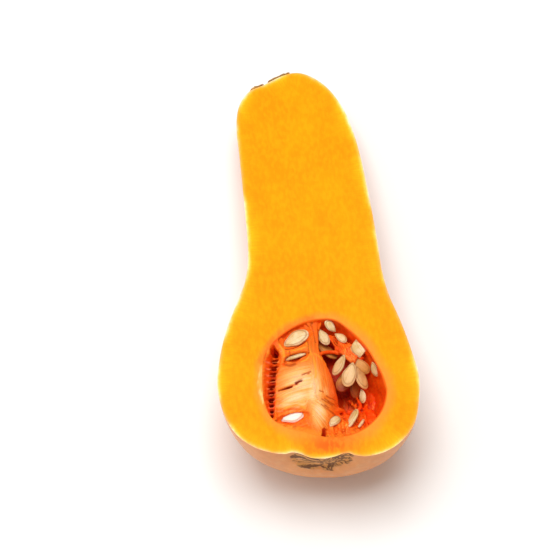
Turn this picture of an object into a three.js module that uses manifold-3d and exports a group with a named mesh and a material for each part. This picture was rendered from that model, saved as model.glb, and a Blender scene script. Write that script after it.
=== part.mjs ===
// Half of a butternut squash, cut lengthwise through the stem and lying on its rind with the cut face up.
// Millimetres. The fruit is drawn in its own frame: x across the cut face, y from the blossom end to the
// stem end, z out of the cut face. A group then lays it down, +Z up, the way it comes to rest.
import * as THREE from "three";
import { mergeVertices } from "three/addons/utils/BufferGeometryUtils.js";
import Module from "manifold-3d";

// ---- Driving dimensions -------------------------------------------------------------------------------
const FRUIT_LENGTH = 250;
const BULB_DEPTH = 53; // from the cut face to the lowest skin of the bulb
const NODE_GAP = 0.3; // clearance between pieces that touch
const REST_SINK = 0.45; // how far the rind is flattened where it bears on the table

// The two edges of the cut face, [out from the core line, along it], blossom end first. Point by point they
// are the same features: button, groove round it, shoulder, widest bulb, waist, neck, stem facet.
const LEFT_EDGE = [
  [0, 0.6], [7, 1.5], [12.5, 4.2], [16.6, 5.4], [20.5, 4.8], [27, 6], [36, 10], [44.5, 17.8], [50, 29.5],
  [52.7, 46.5], [50.2, 65], [45.5, 82], [39, 98], [34, 112], [31.8, 130], [32.1, 158], [32.9, 190],
  [33.5, 212], [31.2, 227.5], [25, 237.6], [16.4, 241.9], [6.5, 247.2], [0, 249.4],
];
const RIGHT_EDGE = [
  [0, 0.6], [5, 1.5], [9.3, 2.8], [12.3, 3], [15.5, 1.6], [22, 0.6], [32, 2.9], [42, 10], [49, 21.5],
  [52.7, 42.6], [50.6, 60], [46.6, 79], [42, 96], [39.8, 112], [39.2, 130], [37.6, 158], [34.9, 190],
  [31.2, 212], [26, 227.5], [19.3, 239], [12, 246], [5.5, 249.2], [0, 249.4],
];
const RIB_COUNT = 10;
const RIB_RELIEF = 0.5;
const FRUIT_AROUND = 48;
const FRUIT_ALONG = 60;

// The seed cavity: its rim on the cut face, anticlockwise from the right, and its bowl.
const CAVITY_RIM = [
  [34.6, 37], [33.6, 46], [30.6, 55], [26, 65.5], [19, 75], [11.3, 82], [3.5, 83], [-5, 81.5], [-14, 77],
  [-21.5, 70.5], [-27.4, 61], [-29, 49.5], [-29, 36.5], [-25.6, 26], [-18, 20], [-8, 16.5], [2, 13],
  [12, 13.5], [22, 17.3], [30.5, 25.5],
];
const CAVITY_CENTRE = [0, 47];
const CAVITY_DEPTH = 34;
const CAVITY_FULLNESS = 0.72; // under 1 makes the bowl's wall steeper than a sphere's
const WALL_RELIEF = 0.7;

// The cut core of stringy pulp that stands in the cavity, anticlockwise from its right side.
const CORE_RIM = [
  [9.6, 38], [8.4, 48], [5, 58.5], [1.8, 66], [2.2, 74], [4, 85], [-5, 84], [-15, 80],
  [-22, 72], [-18.4, 63.5], [-19.5, 57], [-21.8, 48], [-22.8, 39], [-23.6, 30], [-24, 23], [-15, 16.5],
  [-5, 13], [2, 11.5], [6, 17.5], [9.8, 26.5],
];
const CORE_CENTRE = [-8, 46];
const CORE_TOP = -0.9;
const EDGE_ROUND = 0.6; // how far the core's top falls at its edge
const LEFT_FLOOR = -15; // depth of the narrow gap on the core's left
const RIGHT_FLOOR = -23; // depth of the seed hollow on its right
const CORE_AROUND = 48;

// Seed size. Butternut seeds are flat drops, pointed where the thread from the pulp joins them.
const SEED_LENGTH = 16;
const SEED_WIDTH = 8.8;
const SEED_THICKNESS = 2.6;

// Every seed that shows: its point, its heel and the way that its flat side faces.
const SEEDS = [
  { tip: [-16.5, 69.8, -3.8], heel: [-3, 77.7, -2.9], faces: [-0.2, 0, 1] },
  { tip: [-16, 61.6, -3.9], heel: [-5, 64.4, -3.4], faces: [-0.2, 0.85, 0.55] },
  { tip: [-22.2, 27, -4.9], heel: [-8, 31, -4.3], faces: [-0.1, -0.3, 1] },
  { tip: [12, 78.6, -6.8], heel: [6.8, 83, -2], faces: [0.2, -0.5, 0.9] },
  { tip: [2, 80, -4.4], heel: [7.6, 71.4, -7.4], faces: [0.4, -0.4, 0.8] },
  { tip: [11.4, 76.6, -5.2], heel: [17.2, 71.4, -5.6], faces: [0.1, -0.3, 0.9] },
  { tip: [27, 59.6, -6], heel: [20, 71, -3.4], faces: [-0.3, -0.4, 0.8] },
  { tip: [15.2, 62, -2.8], heel: [8.8, 52, -6.2], faces: [-0.7, 0.1, 0.8] },
  { tip: [18.6, 61, -5.8], heel: [28, 54.8, -10.8], faces: [0.3, -0.5, 0.8] },
  { tip: [19.4, 56.4, -1.6], heel: [14.4, 43.8, -4.4], faces: [-0.2, -0.5, 0.9] },
  { tip: [20.4, 56.4, -5], heel: [25, 43.6, -8.4], faces: [0.75, -0.3, 0.7] },
  { tip: [18.6, 56.6, -8.6], heel: [11, 44, -9.8], faces: [-0.4, -0.5, 0.7] },
  { tip: [19.4, 53, -9.6], heel: [20, 42, -15], faces: [0.45, -0.4, 0.7] },
  { tip: [29.4, 56.8, -3], heel: [31.6, 50.4, -7.6], faces: [-0.6, -0.5, 0.8] },
  { tip: [22.9, 45.2, -10.8], heel: [23.3, 37, -11.2], faces: [-0.8, -0.2, 0.6] },
  { tip: [4.2, 20.4, -3], heel: [9, 27.8, -6.8], faces: [-0.4, -0.5, 0.8] },
  { tip: [14, 19.6, -3.4], heel: [18.6, 31, -6.4], faces: [-0.8, 0, 0.6] },
  { tip: [18.8, 19.2, -3.6], heel: [21.8, 25, -7.6], faces: [-0.8, -0.2, 0.5] },
  { tip: [0.8, 75.2, -9.8], heel: [11.8, 66, -13.2], faces: [0.5, 0.3, 0.8] },
];
const BROKEN_SEED = 6; // the index above of the seed that the knife broke
const BROKEN_LENGTH = 7.8;

// Hollows in the core's cut top where seeds lie, and the slits torn across it: middle, half sizes along and
// across it and out of the face, and the way its length points (degrees).
const PITS = [
  { at: [-9.8, 73.6, 0], half: [10.4, 6.2, 4.1], aim: 30 },
  { at: [-10.6, 61.4, -1], half: [8, 2.6, 4.4], aim: 15 },
  { at: [-14.8, 25.6, -1], half: [9.6, 3.8, 4.6], aim: 14 },
  { at: [-14.2, 44.4, -1], half: [7.4, 0.6, 2.6], aim: 24 },
  { at: [-4.6, 51.3, -1], half: [3.2, 0.5, 1.8], aim: 16 },
  { at: [1.2, 16.8, -4], half: [1.7, 2.7, 7], aim: 0 },
];

// Cords of pulp that cross the hollow and hold the seeds: points from end to end, and radius.
const STRANDS = [
  { points: [[2, 80, -7], [8, 77.4, -10], [14.6, 72.6, -8.4], [20, 69, -8]], radius: 1.4 },
  { points: [[14, 73.5, -9], [16.4, 68, -6.6], [17.4, 63, -6.6], [19.4, 58.6, -4.6]], radius: 1.7 },
  { points: [[20, 69.5, -8], [23, 65.4, -7.6], [21.4, 62, -6.4], [19.4, 58.6, -4.6]], radius: 1.5 },
  { points: [[3, 66, -7], [9, 68, -9.4], [14, 66, -8.4], [20, 67.4, -8]], radius: 1.2 },
  { points: [[19.4, 59, -6], [20.6, 55.5, -12], [18, 50, -19], [18, 44, -24]], radius: 1.5 },
  { points: [[20, 68, -9], [27.4, 61.5, -12.4], [31, 51, -14], [31.5, 41, -16]], radius: 1.1 },
  { points: [[20, 46, -22], [24.6, 38.6, -16], [24, 31, -11.6], [28, 25, -9]], radius: 1.5 },
  { points: [[6, 31, -6.5], [11.5, 32.4, -9], [13.6, 31, -13], [16, 29, -18]], radius: 1.4 },
];
const STRAND_SIDES = 5;

// Thin bridges from the core down into the left wall, where a row of seeds was joined to it.
const RUNG_COUNT = 9;
const RUNG_RADIUS = 0.6;
const RUNGS_FROM = 33.4;
const RUNGS_TO = 64.2;

// Corky crust left where the stem broke off, on the slanted facet at the stem end.
const SCAR_CENTRE = [-12.6, 243.2];
const SCAR_RADIUS = 12.6;
const SCAR_CRUST = 1.5;
const SCAR_LOBES = 5;

// ---- Solids -------------------------------------------------------------------------------------------
const wasm = await Module();
wasm.setup();

/** A closed three.js geometry as a solid that can be joined and cut. */
function solid(geometry) {
  const bare = geometry.clone();
  bare.deleteAttribute("normal");
  bare.deleteAttribute("uv");
  const merged = mergeVertices(bare, 1e-4);
  const vertProperties = merged.attributes.position.array;
  const triVerts = new Uint32Array(merged.index.array);
  return new wasm.Manifold(new wasm.Mesh({ numProp: 3, vertProperties, triVerts }));
}

/** A solid back as a three.js geometry. */
function geometryOf(body) {
  const { numProp, numVert, vertProperties, triVerts } = body.getMesh();
  const position = new Float32Array(numVert * 3);
  for (let i = 0; i < numVert; i++) {
    position.set(vertProperties.subarray(i * numProp, i * numProp + 3), i * 3);
  }
  const geometry = new THREE.BufferGeometry();
  geometry.setAttribute("position", new THREE.BufferAttribute(position, 3));
  geometry.setIndex(new THREE.BufferAttribute(new Uint32Array(triVerts), 1));
  geometry.computeVertexNormals();
  return geometry;
}

/** Moves every vertex of a geometry to place(vertex). */
function shaped(geometry, place) {
  const position = geometry.attributes.position;
  const point = new THREE.Vector3();
  for (let i = 0; i < position.count; i++) {
    const moved = place(point.fromBufferAttribute(position, i));
    position.setXYZ(i, moved.x, moved.y, moved.z);
  }
  return geometry;
}

const lerp = THREE.MathUtils.lerp;
const smooth = THREE.MathUtils.smoothstep;
const plane = (points) => new THREE.SplineCurve(points.map(([x, y]) => new THREE.Vector2(x, y)));
const loop = (points) =>
  new THREE.CatmullRomCurve3(points.map(([x, y]) => new THREE.Vector3(x, y, 0)), true);

// ---- The whole fruit, before it is cut ----------------------------------------------------------------
const leftEdge = plane(LEFT_EDGE);
const rightEdge = plane(RIGHT_EDGE);

/** Skin point at share t from blossom to stem, at angle round the core line with 0 on the right. */
function skin(t, angle) {
  const left = leftEdge.getPoint(t);
  const right = rightEdge.getPoint(t);
  const share = (1 + Math.cos(angle)) / 2;
  const rib = RIB_RELIEF * Math.sin(Math.PI * t) ** 2 * (Math.cos(RIB_COUNT * angle) - 1) * 0.5;
  const out = lerp(left.x, right.x, share) + rib;
  return new THREE.Vector3(
    out * Math.cos(angle),
    lerp(left.y, right.y, share),
    out * Math.sin(angle) * (BULB_DEPTH / 52.7),
  );
}

/** The uncut fruit, its skin pushed out by grow. */
function fruit(grow = 0) {
  const body = new THREE.SphereGeometry(1, FRUIT_AROUND, FRUIT_ALONG);
  shaped(body, (p) => {
    const t = 1 - Math.acos(THREE.MathUtils.clamp(p.y, -1, 1)) / Math.PI;
    return skin(t, Math.atan2(p.z, p.x));
  });
  const grown = body.toNonIndexed();
  grown.deleteAttribute("normal");
  grown.deleteAttribute("uv");
  const merged = mergeVertices(grown, 1e-4);
  merged.computeVertexNormals();
  const normal = merged.attributes.normal;
  const position = merged.attributes.position;
  for (let i = 0; i < position.count; i++) {
    position.setXYZ(
      i,
      position.getX(i) + normal.getX(i) * grow,
      position.getY(i) + normal.getY(i) * grow,
      position.getZ(i) + normal.getZ(i) * grow,
    );
  }
  return solid(merged);
}

/** A block that takes away everything above height z of the fruit's frame. */
function above(z) {
  const block = new THREE.BoxGeometry(400, 600, 200);
  block.translate(0, FRUIT_LENGTH / 2, z + 100);
  return solid(block);
}

// ---- Seed cavity --------------------------------------------------------------------------------------
const cavityRim = loop(CAVITY_RIM);

/** The bowl of the cavity, its wall moved inwards by shrink. It stands proud of the cut face to cut it. */
function cavity(shrink = 0) {
  const wall = Array.from({ length: 11 }, (_, i) => {
    const down = Math.cos((Math.PI / 2) * (i / 10));
    return new THREE.Vector2(Math.max(0, 1 - down * down) ** (CAVITY_FULLNESS / 2), -down);
  });
  const bowl = new THREE.LatheGeometry([...wall, new THREE.Vector2(1, 1), new THREE.Vector2(0, 1)], 50);
  bowl.rotateX(Math.PI / 2);
  shaped(bowl, (p) => {
    const angle = Math.atan2(p.y, p.x);
    const rim = cavityRim.getPoint((angle / (2 * Math.PI) + 1) % 1);
    const out = Math.hypot(p.x, p.y);
    const span = Math.hypot(rim.x - CAVITY_CENTRE[0], rim.y - CAVITY_CENTRE[1]);
    const lump = p.z < 0 ? WALL_RELIEF * Math.sin(7 * angle) * Math.sin(3 * Math.PI * p.z) * out : 0;
    const reach = (out * (span - shrink) + lump) / span;
    const depth = p.z < 0 ? CAVITY_DEPTH - shrink : 8;
    return new THREE.Vector3(
      CAVITY_CENTRE[0] + (rim.x - CAVITY_CENTRE[0]) * reach,
      CAVITY_CENTRE[1] + (rim.y - CAVITY_CENTRE[1]) * reach,
      p.z * depth,
    );
  });
  return solid(bowl);
}

// ---- Stringy pulp -------------------------------------------------------------------------------------
const coreRim = loop(CORE_RIM);

/** Height of the core's cut top at a place on it: a ridge down the middle, a slope to the right, fibres. */
function coreTop(x, y) {
  const fromRidge = x + 1.6 - 0.02 * (y - 45);
  const ridge = 0.6 * Math.exp(-((fromRidge / 2.2) ** 2));
  const slope = -0.3 * Math.max(0, fromRidge - 1) ** 1.3;
  const sag = -0.8 * Math.exp(-(((x + 13) / 7) ** 2 + ((y - 46) / 11) ** 2));
  const arcs = 0.4 * Math.sin((y - 0.3 * x + 0.012 * (x + 12) ** 2) * 1.05) * smooth(-x, 2, 8);
  return CORE_TOP + ridge + slope + sag + arcs;
}

/** The core and the bed of pulp round its foot, before it is trimmed to the cavity. */
function pulpBed() {
  const onTop = 0.52; // shares of the way from the top's middle to the underside
  const atFoot = 0.62;
  const atWall = 0.86;
  const bed = new THREE.SphereGeometry(1, CORE_AROUND, 25);
  bed.rotateX(Math.PI / 2);
  shaped(bed, (p) => {
    const share = Math.acos(THREE.MathUtils.clamp(p.z, -1, 1)) / Math.PI;
    const turn = (Math.atan2(p.y, p.x) / (2 * Math.PI) + 1) % 1;
    const rim = coreRim.getPoint(turn);
    const wall = cavityRim.getPoint(turn);
    const floor = lerp(LEFT_FLOOR, RIGHT_FLOOR, smooth(rim.x, -14, 6));
    if (share <= onTop) {
      const out = share / onTop;
      const x = lerp(CORE_CENTRE[0], rim.x, out);
      const y = lerp(CORE_CENTRE[1], rim.y, out);
      return new THREE.Vector3(x, y, coreTop(x, y) - EDGE_ROUND * out ** 8);
    }
    if (share <= atFoot) {
      const down = (share - onTop) / (atFoot - onTop);
      const x = lerp(rim.x, wall.x, 0.08 * down);
      const y = lerp(rim.y, wall.y, 0.08 * down);
      return new THREE.Vector3(x, y, lerp(coreTop(rim.x, rim.y) - EDGE_ROUND, floor, down));
    }
    if (share <= atWall) {
      const out = (share - atFoot) / (atWall - atFoot);
      const across = lerp(0.08, 1.15, out);
      const ripple = 0.9 * Math.sin(18 * Math.PI * turn) * 4 * out * (1 - out);
      const rise = lerp(7, 12, smooth(-wall.y, -34, -18)) * out ** 1.8 + ripple;
      return new THREE.Vector3(lerp(rim.x, wall.x, across), lerp(rim.y, wall.y, across), floor + rise);
    }
    const under = (1 - share) / (1 - atWall);
    return new THREE.Vector3(
      lerp(CORE_CENTRE[0], lerp(rim.x, wall.x, 1.15), under),
      lerp(CORE_CENTRE[1], lerp(rim.y, wall.y, 1.15), under),
      -CAVITY_DEPTH - 12,
    );
  });
  return solid(bed);
}

/** A round cord along a smooth curve through points. */
function cord(points, radius, sides = STRAND_SIDES, steps = 7) {
  const section = new THREE.Shape();
  for (let i = 0; i < sides; i++) {
    const angle = (2 * Math.PI * i) / sides;
    const move = i ? "lineTo" : "moveTo";
    section[move](radius * Math.cos(angle), radius * Math.sin(angle));
  }
  section.closePath();
  const extrudePath = new THREE.CatmullRomCurve3(points.map((p) => new THREE.Vector3(...p)));
  return solid(new THREE.ExtrudeGeometry(section, { steps, extrudePath, curveSegments: 1 }));
}

/** The bridges of the left gap, evenly spaced and each a little bowed. */
function rungs() {
  return Array.from({ length: RUNG_COUNT }, (_, i) => {
    const y = lerp(RUNGS_FROM, RUNGS_TO, i / (RUNG_COUNT - 1));
    const core = coreRim.getPoint(lerp(0.63, 0.45, i / (RUNG_COUNT - 1))).x;
    const points = [[core + 1.5, y, -3.4], [core - 2.6, y - 0.7, -5.8], [core - 8, y + 0.4, -8.5]];
    return cord(points, RUNG_RADIUS, 4, 3);
  });
}

// ---- Seeds --------------------------------------------------------------------------------------------
/** A flat drop along x with its point at +x, swelled by grow all over. */
function seedGeometry(size, grow = 0) {
  const drop = new THREE.SphereGeometry(1, 12, 8);
  drop.rotateZ(-Math.PI / 2);
  return shaped(drop, (p) => {
    const taper = 1 - 0.34 * smooth(p.x, -0.1, 1) - 0.1 * p.x;
    const rim = 0.55 + 0.45 * Math.sqrt(Math.max(0, 1 - p.y * p.y));
    return new THREE.Vector3(
      p.x * (0.5 * SEED_LENGTH * size + grow),
      p.y * (0.5 * SEED_WIDTH * size * taper + grow),
      p.z * (0.5 * SEED_THICKNESS * (0.4 + 0.6 * size) * rim + grow),
    );
  });
}

const vector = (p) => new THREE.Vector3(...p);

/** A seed's size against the standard one. */
const seedSize = ({ tip, heel }) => vector(tip).distanceTo(vector(heel)) / SEED_LENGTH;

/** Where a seed lies, in the fruit's frame. */
function seedPlace({ tip, heel, faces }) {
  const along = vector(tip).sub(vector(heel)).normalize();
  const across = vector(faces).cross(along).normalize();
  const out = along.clone().cross(across);
  const middle = vector(tip).add(vector(heel)).multiplyScalar(0.5);
  return new THREE.Matrix4().makeBasis(along, across, out).setPosition(middle);
}

/** A seed's solid in its own frame. Of the broken one only the middle is left. */
function seedSolid(seed, index) {
  const whole = solid(seedGeometry(seedSize(seed)));
  if (index !== BROKEN_SEED) return whole;
  const left = new THREE.BoxGeometry(BROKEN_LENGTH, 20, 20);
  left.rotateZ(0.25);
  left.translate(-1, 0, 0);
  return whole.intersect(solid(left));
}

// ---- Pieces -------------------------------------------------------------------------------------------
/** A body with a pocket cut for every seed that presses into it. */
function pocketed(body) {
  return SEEDS.reduce((rest, seed) => {
    const pocket = seedGeometry(seedSize(seed), NODE_GAP + 0.1).applyMatrix4(seedPlace(seed));
    return rest.subtract(solid(pocket));
  }, body);
}

/** Half the fruit with its cavity hollowed out and flattened where it bears on the table. */
function squashHalf(ground) {
  return pocketed(fruit().subtract(above(0)).subtract(cavity()).subtract(ground));
}

/** A hollow or slit in the core's top. */
function pit({ at, half, aim }) {
  const hollow = new THREE.SphereGeometry(1, 14, 10);
  hollow.scale(...half);
  hollow.rotateZ(THREE.MathUtils.degToRad(aim));
  hollow.translate(...at);
  return solid(hollow);
}

/** Pulp trimmed to the cavity, with its cords and rungs joined on, its pits and a pocket for every seed. */
function seedPulp() {
  let pulp = pulpBed();
  for (const place of PITS) pulp = pulp.subtract(pit(place));
  for (const { points, radius } of STRANDS) pulp = pulp.add(cord(points, radius));
  for (const rung of rungs()) pulp = pulp.add(rung);
  const bodies = pocketed(pulp.intersect(cavity(NODE_GAP)).subtract(above(-0.3))).decompose();
  return bodies.sort((a, b) => b.volume() - a.volume())[0];
}

/** The crust on the stem facet: a lobed plug met with a thin layer outside the skin. */
function stemScar() {
  const plug = new THREE.CylinderGeometry(SCAR_RADIUS, SCAR_RADIUS, 24, 40, 1);
  shaped(plug, (p) => {
    const angle = Math.atan2(p.z, p.x);
    const lobe = 1 + 0.09 * Math.cos(SCAR_LOBES * angle) + 0.04 * Math.cos(11 * angle + 1);
    return new THREE.Vector3(p.x * lobe, p.y, p.z * lobe);
  });
  plug.rotateZ(THREE.MathUtils.degToRad(25.3));
  plug.translate(SCAR_CENTRE[0], SCAR_CENTRE[1], 0);
  const hollow = new THREE.SphereGeometry(2.3, 12, 8);
  hollow.translate(SCAR_CENTRE[0] - 2.2, SCAR_CENTRE[1] + 1.6, 0);
  return solid(plug)
    .intersect(fruit(SCAR_CRUST))
    .subtract(fruit(NODE_GAP))
    .subtract(solid(hollow))
    .subtract(above(-0.1));
}

// ---- How the half lies --------------------------------------------------------------------------------
/** Height of a fruit point once the neck has dropped by tilt. */
const height = (p, tilt) => p.z * Math.cos(tilt) - p.y * Math.sin(tilt);

/** The tilt at which bulb and neck bear together, and the height of the skin there. */
function restingTilt() {
  const keel = Array.from({ length: 400 }, (_, i) => skin((i + 0.5) / 400, -Math.PI / 2));
  const waist = FRUIT_LENGTH / 2;
  let tilt = 0;
  let bulb;
  let neck;
  for (let round = 0; round < 12; round++) {
    const lowest = (points) => points.reduce((a, b) => (height(b, tilt) < height(a, tilt) ? b : a));
    bulb = lowest(keel.filter((p) => p.y < waist));
    neck = lowest(keel.filter((p) => p.y >= waist));
    tilt += (height(neck, tilt) - height(bulb, tilt)) / (neck.y - bulb.y);
  }
  return { tilt, low: height(bulb, tilt) };
}

const { tilt, low } = restingTilt();
const lying = new THREE.Group();
lying.rotation.x = -tilt;
lying.position.z = -low - REST_SINK;
lying.updateMatrix();

const table = new THREE.BoxGeometry(400, 600, 60);
table.translate(0, FRUIT_LENGTH / 2, -30);
table.applyMatrix4(lying.matrix.clone().invert());

/** A named mesh with its own finish. */
function piece(name, geometry, color, roughness) {
  const mesh = new THREE.Mesh(geometry, new THREE.MeshStandardMaterial({ color, roughness, metalness: 0 }));
  mesh.name = name;
  lying.add(mesh);
  return mesh;
}

piece("squash_half", geometryOf(squashHalf(solid(table))), 0xf7a21c, 0.45);
piece("seed_pulp", geometryOf(seedPulp()), 0xf39a55, 0.4);
piece("stem_scar", geometryOf(stemScar()), 0x9a7a4c, 0.9);
SEEDS.forEach((seed, index) => {
  const name = `seed_${String(index + 1).padStart(2, "0")}`;
  const mesh = piece(name, geometryOf(seedSolid(seed, index)), 0xf0dcb0, 0.4);
  seedPlace(seed).decompose(mesh.position, mesh.quaternion, mesh.scale);
});

// The origin is under the middle of the part, on the table.
const part = new THREE.Group();
part.add(lying);
part.updateMatrixWorld(true);
const middle = new THREE.Box3().setFromObject(part, true).getCenter(new THREE.Vector3());
lying.position.x -= middle.x;
lying.position.y -= middle.y;
part.updateMatrixWorld(true);

export default part;
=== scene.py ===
import math
import random

import bpy
import numpy as np
from mathutils import Matrix, Vector, noise
from mathutils.bvhtree import BVHTree
from mathutils.kdtree import KDTree


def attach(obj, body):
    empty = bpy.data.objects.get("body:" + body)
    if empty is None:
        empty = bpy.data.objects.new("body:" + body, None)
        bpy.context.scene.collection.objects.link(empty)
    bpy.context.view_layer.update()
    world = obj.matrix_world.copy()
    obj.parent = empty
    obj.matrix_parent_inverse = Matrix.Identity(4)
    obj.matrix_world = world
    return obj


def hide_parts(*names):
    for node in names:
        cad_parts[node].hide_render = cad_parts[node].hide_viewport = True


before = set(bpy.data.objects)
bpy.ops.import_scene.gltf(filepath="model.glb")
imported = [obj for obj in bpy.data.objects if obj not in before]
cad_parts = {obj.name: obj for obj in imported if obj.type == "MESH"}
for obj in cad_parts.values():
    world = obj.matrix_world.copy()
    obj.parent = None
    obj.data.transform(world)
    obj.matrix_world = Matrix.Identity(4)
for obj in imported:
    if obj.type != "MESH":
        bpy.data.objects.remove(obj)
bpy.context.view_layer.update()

# Half a butternut squash lying on its rind. Everything is worked out in the fruit's own frame, in
# millimetres: x across the cut face, y from the blossom end to the stem end, z out of the cut face.
# LAY then turns it down on to the table and into metres.

LIE_TILT = math.radians(7.0353)
LIE_SHIFT = Vector((-0.049, -124.151, 57.6))
LAY = Matrix.Scale(0.001, 4) @ Matrix.Translation(LIE_SHIFT) @ Matrix.Rotation(-LIE_TILT, 4, "X")


def linked(name, data):
    """A new object in the scene."""
    obj = bpy.data.objects.new(name, data)
    bpy.context.scene.collection.objects.link(obj)
    return obj


# ---- Camera ----
VIEW_DISTANCE = 1.0
VIEW_LENS = 120.4
VIEW_AZIMUTH = math.radians(-3.9)
VIEW_ELEVATION = math.radians(58.0) + LIE_TILT
VIEW_CENTRE = Vector((-17.3, 112.5, -1.7))


def add_camera():
    back = Vector((
        math.sin(VIEW_AZIMUTH) * math.cos(VIEW_ELEVATION),
        -math.cos(VIEW_AZIMUTH) * math.cos(VIEW_ELEVATION),
        math.sin(VIEW_ELEVATION),
    ))
    right = Vector((math.cos(VIEW_AZIMUTH), math.sin(VIEW_AZIMUTH), 0))
    data = bpy.data.cameras.new("camera")
    data.sensor_width = 36
    data.lens = VIEW_LENS
    data.clip_start = 0.05
    camera = linked("camera", data)
    turn = Matrix((right, back.cross(right), back)).transposed().to_4x4()
    camera.matrix_world = Matrix.Translation(LAY @ VIEW_CENTRE + back * VIEW_DISTANCE) @ turn
    bpy.context.scene.camera = camera


add_camera()

# ---- The fruit's curves, as in the solids ----
LEFT_EDGE = [
    (0, 0.6), (7, 1.5), (12.5, 4.2), (16.6, 5.4), (20.5, 4.8), (27, 6), (36, 10), (44.5, 17.8), (50, 29.5),
    (52.7, 46.5), (50.2, 65), (45.5, 82), (39, 98), (34, 112), (31.8, 130), (32.1, 158), (32.9, 190),
    (33.5, 212), (31.2, 227.5), (25, 237.6), (16.4, 241.9), (6.5, 247.2), (0, 249.4),
]
RIGHT_EDGE = [
    (0, 0.6), (5, 1.5), (9.3, 2.8), (12.3, 3), (15.5, 1.6), (22, 0.6), (32, 2.9), (42, 10), (49, 21.5),
    (52.7, 42.6), (50.6, 60), (46.6, 79), (42, 96), (39.8, 112), (39.2, 130), (37.6, 158), (34.9, 190),
    (31.2, 212), (26, 227.5), (19.3, 239), (12, 246), (5.5, 249.2), (0, 249.4),
]
BULB_HALF_WIDTH, BULB_DEPTH = 52.7, 53
CAVITY_RIM = [
    (34.6, 37), (33.6, 46), (30.6, 55), (26, 65.5), (19, 75), (11.3, 82), (3.5, 83), (-5, 81.5), (-14, 77),
    (-21.5, 70.5), (-27.4, 61), (-29, 49.5), (-29, 36.5), (-25.6, 26), (-18, 20), (-8, 16.5), (2, 13),
    (12, 13.5), (22, 17.3), (30.5, 25.5),
]
CAVITY_CENTRE = (0, 47)
CAVITY_DEPTH = 34
CAVITY_FULLNESS = 0.72
# The cutting shapes: how far the bowl stands above the cut, and the blade's size, middle and thickness.
BOWL_ABOVE = 8
BLADE_SIZE, BLADE_CENTRE, BLADE_THICKNESS = (116, 272), (0.13, 125.07), 70
SEED_LENGTH, SEED_WIDTH, SEED_THICKNESS = 16, 8.8, 2.6
# How amber each seed's coat is, from white through cream to brown: partly the coat's own tone, partly
# painted shade on the seeds that lie in shade.
WARMTH = [
    0.4, 0.45, -0.6, 0.05, 0.15, 0.4, 0.3, 0.6, 0.75, 0.75, 0.7, 0.85, 0.95, 0.3, 0.15, 0.45, 0.35, 0.5, 0.9,
]
# Seeds with dark red painted shade, where they lie deep or under other seeds: how strong it is, and the
# places along the fruit between which it grows.
DRY = (0, 53, 44)
SOAKED = {11: (0.9, 53, 44), 12: (0.75, 53, 44), 18: (0.35, 53, 80)}
BROKEN_SEED = 6
BROKEN_LENGTH = 7.8
SEEDS = [
    ((-16.5, 69.8, -3.8), (-3, 77.7, -2.9), (-0.2, 0, 1)),
    ((-16, 61.6, -3.9), (-5, 64.4, -3.4), (-0.2, 0.85, 0.55)),
    ((-22.2, 27, -4.9), (-8, 31, -4.3), (-0.1, -0.3, 1)),
    ((12, 78.6, -6.8), (6.8, 83, -2), (0.2, -0.5, 0.9)),
    ((2, 80, -4.4), (7.6, 71.4, -7.4), (0.4, -0.4, 0.8)),
    ((11.4, 76.6, -5.2), (17.2, 71.4, -5.6), (0.1, -0.3, 0.9)),
    ((27, 59.6, -6), (20, 71, -3.4), (-0.3, -0.4, 0.8)),
    ((15.2, 62, -2.8), (8.8, 52, -6.2), (-0.7, 0.1, 0.8)),
    ((18.6, 61, -5.8), (28, 54.8, -10.8), (0.3, -0.5, 0.8)),
    ((19.4, 56.4, -1.6), (14.4, 43.8, -4.4), (-0.2, -0.5, 0.9)),
    ((20.4, 56.4, -5), (25, 43.6, -8.4), (0.75, -0.3, 0.7)),
    ((18.6, 56.6, -8.6), (11, 44, -9.8), (-0.4, -0.5, 0.7)),
    ((19.4, 53, -9.6), (20, 42, -15), (0.45, -0.4, 0.7)),
    ((29.4, 56.8, -3), (31.6, 50.4, -7.6), (-0.6, -0.5, 0.8)),
    ((22.9, 45.2, -10.8), (23.3, 37, -11.2), (-0.8, -0.2, 0.6)),
    ((4.2, 20.4, -3), (9, 27.8, -6.8), (-0.4, -0.5, 0.8)),
    ((14, 19.6, -3.4), (18.6, 31, -6.4), (-0.8, 0, 0.6)),
    ((18.8, 19.2, -3.6), (21.8, 25, -7.6), (-0.8, -0.2, 0.5)),
    ((0.8, 75.2, -9.8), (11.8, 66, -13.2), (0.5, 0.3, 0.8)),
]

# The left gap: a row of holes between thin bridges, from the blossom end up.
GAP_FROM, GAP_TO = 24.5, 71.0
PIT_LINE = [(-25.2, 24.5), (-25.0, 34), (-24.4, 43), (-22.9, 51), (-21.4, 61), (-19.2, 71)]
PITS = [28.6, 31.7, 35.3, 39.2, 43.0, 46.9, 50.7, 54.6, 58.4, 62.3, 67.2]
TOP_PIT_SIZE = 1.75
RUNG_PLACES = [(low + high) / 2 for low, high in zip(PITS, PITS[1:-1])]
RUNG_GIRTH = 0.3
# How far the web reaches into the rim and past the holes, its thickness, and how deep its holes are.
WEB_INTO_RIM, WEB_PAST_PITS, WEB_THICKNESS, PIT_DEPTH = 1.8, 2.2, 9, 6
# How fine the meshes of the pulp and of the crust are.
PULP_GRAIN, CRUST_GRAIN = 0.45, 0.28

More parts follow.
